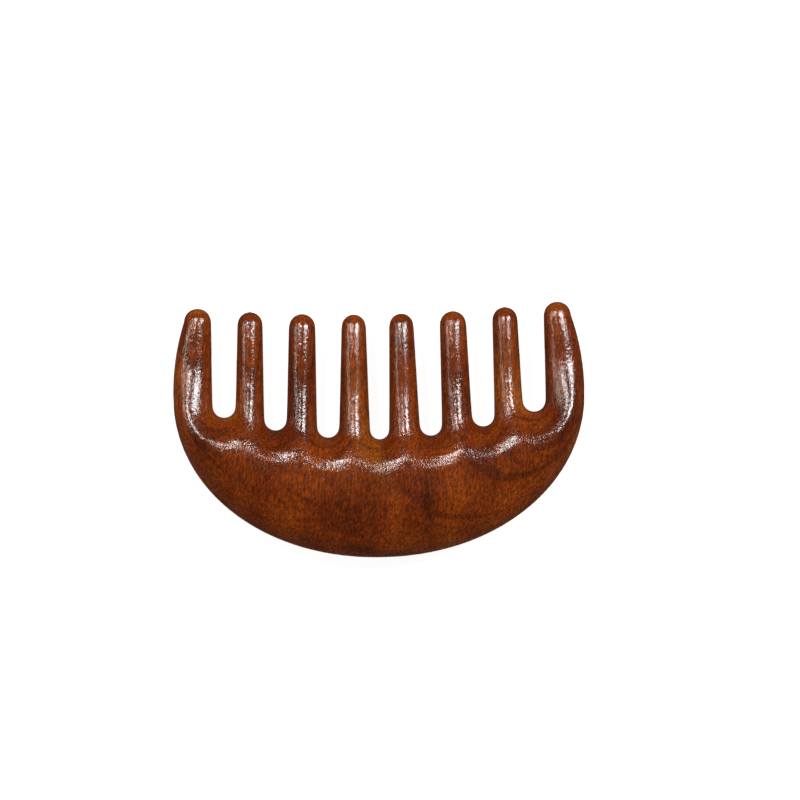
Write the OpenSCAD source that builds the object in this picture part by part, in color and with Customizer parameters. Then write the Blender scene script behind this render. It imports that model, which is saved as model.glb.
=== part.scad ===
// Wide tooth comb, carved from one blank of wood: a crescent back with eight round teeth.
// It lies flat on one broad face: +X along its width, +Y the way the teeth point, +Z up.
// The origin is under the middle of its box, on the surface that the comb lies on.

/* [Outline] */
// Width across the two outer teeth
comb_width = 100; // [80:1:120]
// Height from the lowest point of the back to the level where the comb is widest
back_height = 39.7; // [36:0.1:44]
// How full the crescent is: 2 is an ellipse, more is squarer
back_fullness = 2.06; // [2:0.01:2.3]
// Height of the ellipse that the outer teeth follow above the widest level
horn_curve_height = 52; // [44:1:70]

/* [Teeth] */
// Height of the middle of the tip line above the lowest point of the back
tip_height = 59.2; // [56:0.1:64]
// How much higher the tips of the outer teeth are than the middle of the tip line
tip_line_rise = 2.2; // [0:0.1:5]
// Thickness of a tooth half-way up
tooth_thickness = 7.8; // [6:0.1:10]
// Thickness that a tooth tapers to at its tip, before the tip is rounded
tip_thickness = 5.4; // [5:0.1:8]

/* [Gaps] */
// Spacing of the gaps between the teeth
gap_pitch = 12.5; // [11.5:0.1:13.3]
// How much nearer to the middle gap its two neighbours are than the spacing
inner_gap_shift = 0.3; // [0:0.1:0.6]
// Width of a gap half-way up the teeth
gap_width = 5.8; // [4:0.1:6.6]
// How much narrower the middle gap is
middle_gap_less = 0.7; // [0:0.1:1.5]
// Height of the middle gap's floor
gap_floor = 28.8; // [24:0.1:31]
// How much higher the floors of the outermost gaps are than the middle one
gap_floor_rise = 6; // [2:0.1:7]
// Angle that each wall of a gap opens by towards the tips
gap_taper = 1.1; // [0.5:0.1:2.5]
// Angle that the side gaps lean towards the middle of the comb
gap_lean = 1.3; // [0:0.1:1.5]

/* [Back] */
// Greatest thickness, in the belly of the back
belly_thickness = 16.5; // [12:0.1:20]
// Depth over which the outer edge rounds up to full thickness
edge_round = 15; // [8:0.5:18]
// Depth over which each gap floor is scooped up to full thickness
scoop_round = 8.4; // [6:0.2:10]

/* [Hidden] */

half_width = comb_width / 2;
side_teeth = 4;
side_gaps = side_teeth - 1;
root_above_floor = 5;
gap_middle_y = 44.3;
taper_from = -7;
taper_to = 14;
tip_taper_power = 3;
narrow_from = -2;
narrow_to = 15;
below_floor = 1;
lower_share = 0.6;
ridge_power = 4;
edge_flat = 0.02;
box_middle_y = (tip_height + tip_line_rise) / 2;
wood = [0.42, 0.17, 0.09];

tooth_steps = 12;
gap_steps = 10;
depth_steps = 12;
upper_steps = 4;
height_steps = 12;
tip_steps = 6;

function mix(a, b, t) = a + (b - a) * t;

function ease(a, b, t) = let (u = min(max((t - a) / (b - a), 0), 1)) u * u * (3 - 2 * u);

function even_round(i, n) = (1 - cos(180 * i / n)) / 2;

// The outer edge: a superellipse below the widest level, a taller one above it
function edge_height(y) = y < back_height ? back_height : horn_curve_height;

function reach(x, y) =
    let (a = abs(x) / half_width, b = abs(y - back_height) / edge_height(y))
    pow(pow(a, back_fullness) + pow(b, back_fullness), 1 / back_fullness);

function edge_depth(x, y) =
    let (
        g = max(reach(x, y), 0.05),
        p = back_fullness - 1,
        gx = pow(abs(x) / half_width / g, p) / half_width,
        gy = pow(abs(y - back_height) / edge_height(y) / g, p) / edge_height(y)
    )
    (1 - g) / norm([gx, gy]);

function edge_x(y) =
    half_width * pow(1 - pow(abs(y - back_height) / edge_height(y), back_fullness), 1 / back_fullness);

function edge_y(x) = back_height * (1 - pow(1 - pow(abs(x) / half_width, back_fullness), 1 / back_fullness));

// Gap j is 0 in the middle of the comb and counts outwards
function gap_x(j, y) =
    j * gap_pitch - (j == 1 ? inner_gap_shift : 0) - (j > 0 ? tan(gap_lean) * (y - gap_middle_y) : 0);

function gap_half(j, y) = (gap_width - (j > 0 ? 0 : middle_gap_less)) / 2 + tan(gap_taper) * (y - gap_middle_y);

function floor_y(x) = gap_floor + gap_floor_rise * pow(min(abs(x) / (side_gaps * gap_pitch), 1), 2);

function round_y(j) = floor_y(j * gap_pitch) + gap_half(j, floor_y(j * gap_pitch));

function gap_depth(j, x, y) =
    let (c = round_y(j))
    y > c ? abs(x - gap_x(j, y)) - gap_half(j, y) : norm([x - gap_x(j, c), y - c]) - gap_half(j, c);

// Tooth k is 1 beside the middle gap and counts outwards; side_teeth is the outer one
function inner_x(k, y) = gap_x(k - 1, y) + gap_half(k - 1, y);

function outer_x(k, y) = k < side_teeth ? gap_x(k, y) - gap_half(k, y) : edge_x(y);

function tooth_half(k, y) = (outer_x(k, y) - inner_x(k, y)) / 2;

function tooth_x(k, y) = (outer_x(k, y) + inner_x(k, y)) / 2;

function root_y(k) = floor_y(min(k, side_gaps) * gap_pitch) + root_above_floor;

function tip_y(k) = tip_height + tip_line_rise * pow((k - 0.5) / (side_teeth - 0.5), 2);

// Half thickness along the crest of the belly and the teeth, by height above the gap floors
function crest_half(above) =
    let (
        up = min(max((above - taper_to) / (tip_height - gap_floor - taper_to), 0), 1),
        tooth = mix(tooth_thickness, tip_thickness, pow(up, tip_taper_power))
    )
    mix(belly_thickness, tooth, ease(taper_from, taper_to, above)) / 2;

function from_edge(depth, width) = max(1 - depth / width, 0);

// Half thickness at any point of the outline, in the right half of the comb
function half_thickness(x, y) =
    let (
        k = min(floor(x / gap_pitch) + 1, side_teeth),
        above = y - floor_y(x),
        w = tooth_half(k, max(y, root_y(k))),
        horn_w = tooth_half(side_teeth, max(y, root_y(side_teeth))),
        scoop = mix(scoop_round, w, ease(narrow_from, narrow_to, above)),
        rim = mix(edge_round, horn_w, ease(back_height / 4, root_y(side_teeth), y)),
        near = from_edge(gap_depth(k - 1, x, y), scoop),
        far = k < side_teeth ? from_edge(gap_depth(k, x, y), scoop) : 0,
        side = from_edge(edge_depth(x, y), rim),
        v = pow(pow(near, ridge_power) + pow(far, ridge_power) + pow(side, ridge_power), 1 / ridge_power)
    )
    max(crest_half(above) * sqrt(max(1 - v * v, 0)), edge_flat);

// Tooth rings lie level: up the near face from the inner edge to the outer, then back on the far face
function tooth_ring(k, y) = [
    for (side = [1, -1], i = [0:tooth_steps])
        let (
            n = side > 0 ? i : tooth_steps - i,
            x = mix(inner_x(k, y), outer_x(k, y), even_round(n, tooth_steps))
        )
        [x, y, side * half_thickness(x, y)]
];

function tip_ring(k, angle) =
    let (r = tip_round(k), y = tip_y(k) - r, c = tooth_x(k, y))
    [for (p = tooth_ring(k, y)) [c + (p[0] - c) * cos(angle), y + r * sin(angle), p[2] * cos(angle)]];

function tip_round(k) = tooth_half(k, tip_y(k) - tip_thickness / 2);

function tooth_rings(k) =
    let (low = root_y(k), high = tip_y(k) - tip_round(k))
    [
        for (i = [0:height_steps - 1]) tooth_ring(k, mix(low, high, i / height_steps)),
        for (i = [0:tip_steps]) tip_ring(k, 86 * i / tip_steps)
    ];

// The top edge of the back, right half: gap floors, gap walls and tooth roots in turn
function gap_edge(j) =
    let (c = round_y(j), r = gap_half(j, c), first = j > 0 ? 0 : gap_steps / 2)
    [
        for (i = [first:gap_steps])
            let (a = 180 * i / gap_steps)
            [gap_x(j, c) - r * cos(a), c - r * sin(a)]
    ];

function root_edge(k) =
    let (y = root_y(k), last = k < side_teeth ? tooth_steps : tooth_steps - 1)
    [for (i = [0:last]) [mix(inner_x(k, y), outer_x(k, y), even_round(i, tooth_steps)), y]];

right_edge = [for (k = [1:side_teeth]) each concat(gap_edge(k - 1), root_edge(k))];
top_edge = concat(
    [for (i = [len(right_edge) - 1:-1:1]) [-right_edge[i][0], right_edge[i][1]]],
    right_edge
);

// Heights of a section's points: close together at the outer edge and under the gap floors
function back_heights(x, top) =
    let (low = edge_y(x), bend = max(floor_y(x) - below_floor, mix(low, top, lower_share)))
    [
        for (i = [0:depth_steps]) mix(low, bend, even_round(i, depth_steps)),
        for (i = [1:upper_steps]) mix(bend, top, i / upper_steps)
    ];

function back_ring(x, top) =
    let (heights = back_heights(x, top), last = len(heights) - 1)
    [
        for (side = [1, -1], i = [0:last])
            let (y = heights[side > 0 ? i : last - i])
            [x, y, side * half_thickness(abs(x), y)]
    ];

// A closed solid through rings that all have the same number of points
module loft(rings) {
    n = len(rings[0]);
    last = (len(rings) - 1) * n;
    polyhedron(
        points = [for (r = rings) each r],
        faces = [
            [for (i = [0:n - 1]) i],
            [for (i = [n - 1:-1:0]) last + i],
            for (r = [0:len(rings) - 2], i = [0:n - 1])
                let (a = r * n + i, b = r * n + (i + 1) % n)
                each [[a, a + n, b], [b, a + n, b + n]]
        ],
        convexity = 10
    );
}

module lie_flat() {
    translate([0, -box_middle_y, belly_thickness / 2]) children();
}

module back() {
    color(wood) lie_flat() loft([for (p = top_edge) back_ring(p[0], p[1])]);
}

module tooth(k) {
    color(wood) lie_flat() loft(tooth_rings(k));
}

module left_tooth(k) {
    mirror([1, 0, 0]) tooth(k);
}

back();
left_tooth(4);  // tooth_1
left_tooth(3);  // tooth_2
left_tooth(2);  // tooth_3
left_tooth(1);  // tooth_4
tooth(1);  // tooth_5
tooth(2);  // tooth_6
tooth(3);  // tooth_7
tooth(4);  // tooth_8
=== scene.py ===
from math import radians, sin, cos
import bpy
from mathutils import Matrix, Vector


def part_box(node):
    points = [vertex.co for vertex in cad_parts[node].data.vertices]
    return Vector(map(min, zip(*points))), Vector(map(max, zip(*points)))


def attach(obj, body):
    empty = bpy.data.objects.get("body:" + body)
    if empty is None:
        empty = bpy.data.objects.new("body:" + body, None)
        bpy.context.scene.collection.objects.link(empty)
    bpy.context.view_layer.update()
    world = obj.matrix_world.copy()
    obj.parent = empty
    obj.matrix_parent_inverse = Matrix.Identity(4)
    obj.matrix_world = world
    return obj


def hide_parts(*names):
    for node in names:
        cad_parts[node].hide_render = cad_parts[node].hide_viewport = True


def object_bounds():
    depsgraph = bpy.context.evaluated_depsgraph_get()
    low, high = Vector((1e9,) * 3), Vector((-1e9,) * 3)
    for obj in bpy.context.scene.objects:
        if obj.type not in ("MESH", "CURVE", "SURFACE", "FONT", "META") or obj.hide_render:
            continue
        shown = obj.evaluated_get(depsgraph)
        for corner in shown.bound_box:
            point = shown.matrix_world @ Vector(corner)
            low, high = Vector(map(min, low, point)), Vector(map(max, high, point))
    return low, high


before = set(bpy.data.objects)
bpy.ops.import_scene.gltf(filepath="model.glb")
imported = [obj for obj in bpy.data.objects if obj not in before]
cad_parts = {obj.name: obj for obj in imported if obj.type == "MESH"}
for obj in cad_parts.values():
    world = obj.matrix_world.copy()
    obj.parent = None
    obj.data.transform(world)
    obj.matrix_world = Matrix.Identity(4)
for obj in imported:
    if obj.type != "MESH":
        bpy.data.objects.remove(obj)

cad_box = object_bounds()

MM = 0.001

# --- the comb's own places, from the frame ---

TEETH = ["tooth_%d" % number for number in range(1, 9)]
REGIONS = ["back"] + TEETH
BOXES = {region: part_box(region) for region in REGIONS}

comb_middle_z = cad_box[1].z / 2

# --- camera: straight down on the broad face ---

VIEW_WIDTH = 0.1943
LENS = 135
SENSOR = 36
CAMERA_HEIGHT = VIEW_WIDTH * LENS / SENSOR
CAMERA_ROLL = -1.14
AIM_RIGHT = 5.1 * MM
AIM_UP = 7.5 * MM


def set_camera():
    data = bpy.data.cameras.new("overhead")
    data.lens = LENS
    data.sensor_width = SENSOR
    data.clip_start = 0.01
    camera = bpy.data.objects.new("overhead", data)
    bpy.context.scene.collection.objects.link(camera)
    camera.location = (AIM_RIGHT, AIM_UP, comb_middle_z + CAMERA_HEIGHT)
    camera.rotation_euler = (0, 0, radians(CAMERA_ROLL))
    bpy.context.scene.camera = camera


# --- light and floor ---

LAMP_DISTANCE = 0.6
ROOM_BRIGHTNESS = 0.04
FLOOR_WIDTH = 4
FLOOR_GLOW = 0.95


def soft_box(name, around, off_axis, size, power, colour):
    """A rectangular lamp that faces the comb: its size is along the circle round the comb, then up."""
    flat = LAMP_DISTANCE * sin(radians(off_axis))
    place = Vector((flat * cos(radians(around)), flat * sin(radians(around)),
                    comb_middle_z + LAMP_DISTANCE * cos(radians(off_axis))))
    data = bpy.data.lights.new(name, "AREA")
    data.shape = "RECTANGLE"
    data.size, data.size_y = size
    data.energy = power
    data.color = colour
    lamp = bpy.data.objects.new(name, data)
    lamp.location = place
    lamp.rotation_euler = (place - Vector((0, 0, comb_middle_z))).to_track_quat("Z", "Y").to_euler()
    bpy.context.scene.collection.objects.link(lamp)


def light_the_table():
    soft_box("window_right", 32, 41, (0.12, 0.24), 2.6, (0.97, 0.98, 1))
    soft_box("window_behind", 126, 30, (0.18, 0.11), 1.4, (1, 0.97, 0.94))
    soft_box("strip_left", 163, 58, (0.30, 0.035), 0.55, (1, 0.92, 0.82))
    world = bpy.data.worlds.new("pale_room")
    world.use_nodes = True
    background = world.node_tree.nodes["Background"]
    background.inputs["Color"].default_value = (1, 0.98, 0.96, 1)
    background.inputs["Strength"].default_value = ROOM_BRIGHTNESS
    bpy.context.scene.world = world
    bpy.context.scene.view_settings.view_transform = "Standard"


def lay_floor():
    bpy.ops.object.select_all(action="DESELECT")
    bpy.ops.mesh.primitive_plane_add(size=FLOOR_WIDTH)
    floor = bpy.context.object
    floor.name = "floor"
    paint = bpy.data.materials.new("white_table")
    paint.use_nodes = True
    shader = paint.node_tree.nodes["Principled BSDF"]
    shader.inputs["Base Color"].default_value = (0.3, 0.3, 0.3, 1)
    shader.inputs["Roughness"].default_value = 0.9
    shader.inputs["Specular IOR Level"].default_value = 0.1
    shader.inputs["Emission Color"].default_value = (1, 1, 1, 1)
    shader.inputs["Emission Strength"].default_value = FLOOR_GLOW
    floor.data.materials.append(paint)
    # the polished wood doesn't mirror the table
    floor.visible_glossy = False


# --- the wood ---

# sockets of a Mix node that is set to colours
COLOUR_A = 6
COLOUR_B = 7
COLOUR_RESULT = 2


class Signal:
    """A value on its way through a material. Sums on it add Math nodes."""

    def __init__(self, recipe, socket):
        self.recipe = recipe
        self.socket = socket

    def sum(self, operation, first, second):
        return self.recipe.node("ShaderNodeMath", {"operation": operation}, {0: first, 1: second})

    def __add__(self, other):
        return self.sum("ADD", self, other)

    def __radd__(self, other):
        return self.sum("ADD", other, self)

    def __sub__(self, other):
        return self.sum("SUBTRACT", self, other)

    def __rsub__(self, other):
        return self.sum("SUBTRACT", other, self)

    def __mul__(self, other):
        return self.sum("MULTIPLY", self, other)

    def __rmul__(self, other):
        return self.sum("MULTIPLY", other, self)


class Recipe:
    """The node tree of one material."""

    def __init__(self, name):
        self.material = bpy.data.materials.new(name)
        self.material.use_nodes = True
        self.tree = self.material.node_tree
        self.shader = self.tree.nodes["Principled BSDF"]

    def plug(self, socket, value):
        if isinstance(value, Signal):
            self.tree.links.new(value.socket, socket)
        else:
            socket.default_value = value

    def node(self, kind, settings, sockets, out=0):
        """Adds a node: its settings first, then the values or links of its sockets."""
        made = self.tree.nodes.new(kind)
        for name, value in settings.items():
            if name == "stops":
                self.set_stops(made.color_ramp, value)
            else:
                setattr(made, name, value)
        for name, value in sockets.items():
            self.plug(made.inputs[name], value)
        return Signal(self, made.outputs[out])

    def set_stops(self, ramp, stops):
        while len(ramp.elements) < len(stops):
            ramp.elements.new(1)
        for element, (place, colour) in zip(ramp.elements, stops):
            element.position = place
            element.color = colour

    def stretch(self, place, scale, shift=(0, 0, 0), turn=(0, 0, 0)):
        sockets = {"Vector": place, "Scale": scale, "Location": shift, "Rotation": turn}
        return self.node("ShaderNodeMapping", {"vector_type": "POINT"}, sockets)

    def noise(self, place, detail=2, roughness=0.5, distortion=0):
        sockets = {"Vector": place, "Scale": 1, "Detail": detail, "Roughness": roughness,
                   "Distortion": distortion}
        return self.node("ShaderNodeTexNoise", {}, sockets, "Fac")

    def spread(self, value, low, high, to_low=0, to_high=1):
        sockets = {"Value": value, "From Min": low, "From Max": high, "To Min": to_low, "To Max": to_high}
        return self.node("ShaderNodeMapRange", {"interpolation_type": "SMOOTHSTEP"}, sockets)

    def blend(self, amount, first, second, how="MIX"):
        sockets = {"Factor": amount, COLOUR_A: first, COLOUR_B: second}
        return self.node("ShaderNodeMix", {"data_type": "RGBA", "blend_type": how}, sockets, COLOUR_RESULT)


def rgb(red, green, blue):
    """A colour as it looks on a screen, 0 to 255, made linear."""
    parts = [value / 255 for value in (red, green, blue)]
    return tuple(p / 12.92 if p <= 0.04045 else ((p + 0.055) / 1.055) ** 2.4 for p in parts) + (1,)


DARK_HEART = rgb(76, 28, 4)
RED_HEART = rgb(112, 43, 4)
RUSSET = rgb(134, 58, 7)
GOLD = rgb(166, 92, 20)
PORE = rgb(38, 12, 2)

POLISH_RELIEF = 0.085 * MM


def polished_sandalwood():
    """The wood of the whole comb. Its patterns are laid out in millimetres of the comb's own frame."""
    wood = Recipe("polished_sandalwood")
    place = wood.node("ShaderNodeTexCoord", {}, {}, "Object")
    place = wood.node("ShaderNodeVectorMath", {"operation": "SCALE"}, {0: place, "Scale": 1 / MM})
    across = wood.node("ShaderNodeSeparateXYZ", {}, {"Vector": place}, "X")
    along = wood.node("ShaderNodeSeparateXYZ", {}, {"Vector": place}, "Y")

    # growth layers lie a little askew in the blank, so they show as bands where the belly curves away
    warp = wood.noise(wood.stretch(place, (0.06, 0.035, 0.06)), detail=3)
    askew = wood.stretch(place, (1, 1, 1), turn=(0.16, -0.14, 0))
    layers = wood.noise(wood.stretch(askew, (0.014, 0.014, 0.5), shift=(0, 0, 4)), detail=4, roughness=0.55,
                        distortion=0.4)
    zones = wood.noise(wood.stretch(place, (0.10, 0.04, 0.08), shift=(3, 7, 1)), detail=3)
    tone = zones * 0.6 + layers * 0.3 + warp * 0.4 - 0.16
    colour = wood.node("ShaderNodeValToRGB", {"stops": [
        (0.32, DARK_HEART), (0.44, RED_HEART), (0.58, RUSSET), (0.76, GOLD)]}, {"Fac": tone})

    # a golden streak down the fourth tooth, which swings to the middle in the belly
    swing = wood.spread(along, -14, 8, 0, 6.2)
    drift = across + swing + warp * 5 - 2.5
    core = wood.spread(drift * drift, 14, 0)
    lower_end = wood.spread(along, -17, -4)
    upper_end = wood.spread(along, 20, 4, 0.1, 0.4)
    colour = wood.blend(core * lower_end * upper_end, colour, GOLD)

    # dark veins between the layers
    vein = wood.spread(layers + warp * 0.1, 0.475, 0.42)
    colour = wood.blend(vein * 0.5, colour, DARK_HEART)

    # long fibres, short slanting flecks and open pores; the flecks are partly grain and partly painted
    # sheen, lighter and darker where the interlocked grain would shimmer
    fibre = wood.noise(wood.stretch(place, (2.5, 0.32, 2.5)), detail=3, roughness=0.65)
    slanting = wood.stretch(place, (1, 1, 1), turn=(0, 0, 0.55))
    # painted sheen: these slanting flecks lighten and darken the colour the way the grain's shimmer in the
    # light would
    sheen_fleck = wood.noise(wood.stretch(slanting, (2.3, 0.75, 2.3)), detail=3, roughness=0.6)
    speck = wood.noise(wood.stretch(place, (3.2, 0.6, 3.2)), detail=2, roughness=0.6)
    pore = wood.spread(speck, 0.56, 0.66)
    # this multiplier holds the real fibres and the painted sheen of the slanting flecks
    fibre_and_sheen = wood.spread(fibre, 0.32, 0.68, 0.6, 1.4) * wood.spread(sheen_fleck, 0.3, 0.7, 0.62, 1.4)
    fibre_and_sheen = wood.node("ShaderNodeCombineColor", {}, {0: fibre_and_sheen, 1: fibre_and_sheen, 2: fibre_and_sheen})
    colour = wood.blend(1.0, colour, fibre_and_sheen, "MULTIPLY")
    colour = wood.blend(pore * 0.6, colour, PORE)

    # the polish: glossy, but finely broken by the pores under it
    grit = wood.noise(wood.stretch(place, (2.2, 1.5, 2.2)), detail=2, roughness=0.6)
    height = grit + fibre * 0.2 - pore * 0.1
    bump = wood.node("ShaderNodeBump", {}, {"Strength": 1.0, "Distance": POLISH_RELIEF, "Height": height})

    wood.plug(wood.shader.inputs["Base Color"], colour)
    wood.plug(wood.shader.inputs["Roughness"], wood.spread(grit, 0.3, 0.7, 0.1, 0.2) + pore * 0.15)
    wood.plug(wood.shader.inputs["Normal"], bump)
    wood.shader.inputs["Specular IOR Level"].default_value = 0.9
    return wood.material


# --- the carved blank ---

VOXEL = 0.4 * MM
WELD = 0.005 * MM
SMOOTHING_ROUNDS = 14


def only(piece):
    bpy.ops.object.select_all(action="DESELECT")
    piece.select_set(True)
    bpy.context.view_layer.objects.active = piece


def apply(piece, kind, **settings):
    only(piece)
    modifier = piece.modifiers.new(kind.lower(), kind)
    for name, value in settings.items():
        setattr(modifier, name, value)
    bpy.ops.object.modifier_apply(modifier=modifier.name)


def twin(original, name):
    copy = original.copy()
    copy.data = original.data.copy()
    copy.name = name
    copy.parent = None
    bpy.context.scene.collection.objects.link(copy)
    return copy


def carve_blank():
    """The whole comb in one smooth skin, before it is cut into its named regions."""
    parts = [twin(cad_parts[name], "blank") for name in REGIONS]
    bpy.ops.object.select_all(action="DESELECT")
    for part in parts:
        part.select_set(True)
    bpy.context.view_layer.objects.active = parts[0]
    bpy.ops.object.join()
    blank = bpy.context.object
    bpy.ops.object.mode_set(mode="EDIT")
    bpy.ops.mesh.select_all(action="SELECT")
    bpy.ops.mesh.remove_doubles(threshold=WELD)
    bpy.ops.object.mode_set(mode="OBJECT")
    apply(blank, "REMESH", mode="VOXEL", voxel_size=VOXEL)
    apply(blank, "SMOOTH", factor=0.5, iterations=SMOOTHING_ROUNDS)
    only(blank)
    bpy.ops.object.shade_smooth()
    return blank


# --- the nine named regions, cut from the blank at the tooth roots ---

# how far round a tooth's box, and how far below its root, a cut reaches
SIDE_MARGIN = 0.9 * MM
ROOT_MARGIN = 1.6 * MM


def root_level(tooth):
    return BOXES[tooth][0].y


def select_tooth(piece, tooth, inside=True):
    """Selects the points of one tooth, or with inside=False all the others, and stays in edit mode."""
    bpy.ops.object.mode_set(mode="EDIT")
    bpy.ops.mesh.select_all(action="DESELECT")
    bpy.ops.object.mode_set(mode="OBJECT")
    low, high = BOXES[tooth]
    left, right, bottom = low.x - SIDE_MARGIN, high.x + SIDE_MARGIN, low.y - ROOT_MARGIN
    for vertex in piece.data.vertices:
        place = vertex.co
        vertex.select = (left < place.x < right and place.y > bottom) == inside
    bpy.ops.object.mode_set(mode="EDIT")


def saw(tooth, keep_tooth):
    """Cuts what is selected level across a tooth's root, closes the cut and keeps its rim crisp."""
    bpy.ops.mesh.bisect(plane_co=(0, root_level(tooth), 0), plane_no=(0, 1, 0), use_fill=True,
                        clear_inner=keep_tooth, clear_outer=not keep_tooth)
    bpy.ops.mesh.region_to_loop()
    bpy.ops.mesh.mark_sharp()


def cut_tooth(blank, tooth):
    piece = twin(blank, tooth + "_carved")
    only(piece)
    select_tooth(piece, tooth, inside=False)
    bpy.ops.mesh.delete(type="VERT")
    bpy.ops.mesh.select_all(action="SELECT")
    saw(tooth, keep_tooth=True)
    bpy.ops.object.mode_set(mode="OBJECT")
    return piece


def cut_back(blank):
    piece = twin(blank, "back_carved")
    only(piece)
    for tooth in TEETH:
        select_tooth(piece, tooth)
        saw(tooth, keep_tooth=False)
        bpy.ops.object.mode_set(mode="OBJECT")
    return piece


def finish_piece(piece, node, timber):
    piece.data.materials.clear()
    piece.data.materials.append(timber)
    for face in piece.data.polygons:
        face.material_index = 0
    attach(piece, "root")
    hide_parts(node)


set_camera()
light_the_table()
lay_floor()

timber = polished_sandalwood()
blank = carve_blank()
finish_piece(cut_back(blank), "back", timber)
for tooth in TEETH:
    finish_piece(cut_tooth(blank, tooth), tooth, timber)
bpy.data.objects.remove(blank)
